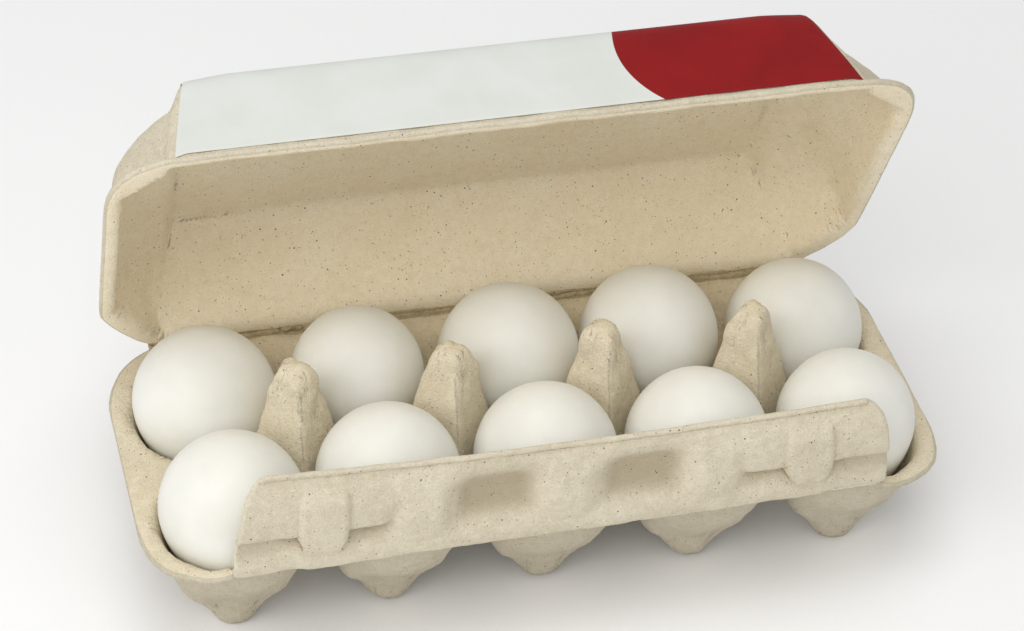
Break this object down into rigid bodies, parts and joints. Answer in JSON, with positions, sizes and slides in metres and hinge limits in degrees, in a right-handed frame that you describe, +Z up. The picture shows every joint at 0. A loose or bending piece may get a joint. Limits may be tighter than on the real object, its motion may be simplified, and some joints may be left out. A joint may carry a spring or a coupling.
{
  "type": "egg carton with eggs",
  "caption": "Open moulded pulp egg carton: white eggs in cups, posts between them, a hinged lid with a printed label and a folding flap.",
  "frame": {"origin": "on the level of the feet, under the middle of the open carton's box", "axes": "+X along the rows of cups to the label's red end, +Y from the flap to the hinge, +Z up"},
  "size_m": [0.254, 0.1461, 0.1552],
  "materials": {
    "pulp_tray": "matte",
    "pulp_lid": "matte",
    "pulp_flap": "matte",
    "label_print": "satin",
    "eggshell": "matte"
  },
  "bodies": {
    "tray": {"tray": "pulp_tray", "egg_front_1": "eggshell", "egg_front_2": "eggshell", "egg_front_3": "eggshell", "egg_front_4": "eggshell", "egg_front_5": "eggshell", "egg_back_1": "eggshell", "egg_back_2": "eggshell", "egg_back_3": "eggshell", "egg_back_4": "eggshell", "egg_back_5": "eggshell"},
    "lid": {"lid": "pulp_lid", "label": "label_print"},
    "flap": {"flap": "pulp_flap"}
  },
  "joints": [
    {"name": "lid_hinge", "type": "hinge", "parent": "tray", "child": "lid", "pos_m": [0, 0.0469, 0.0405], "axis": [-1, 0, 0], "range_deg": [-64, 112]},
    {"name": "flap_fold", "type": "hinge", "parent": "tray", "child": "flap", "pos_m": [0, -0.0658, 0.04], "axis": [1, 0, 0], "range_deg": [-23, 40.3]}
  ],
  "couplings": [
    {"joint": "flap_fold", "follows": "lid_hinge", "ratio": 0.359}
  ]
}
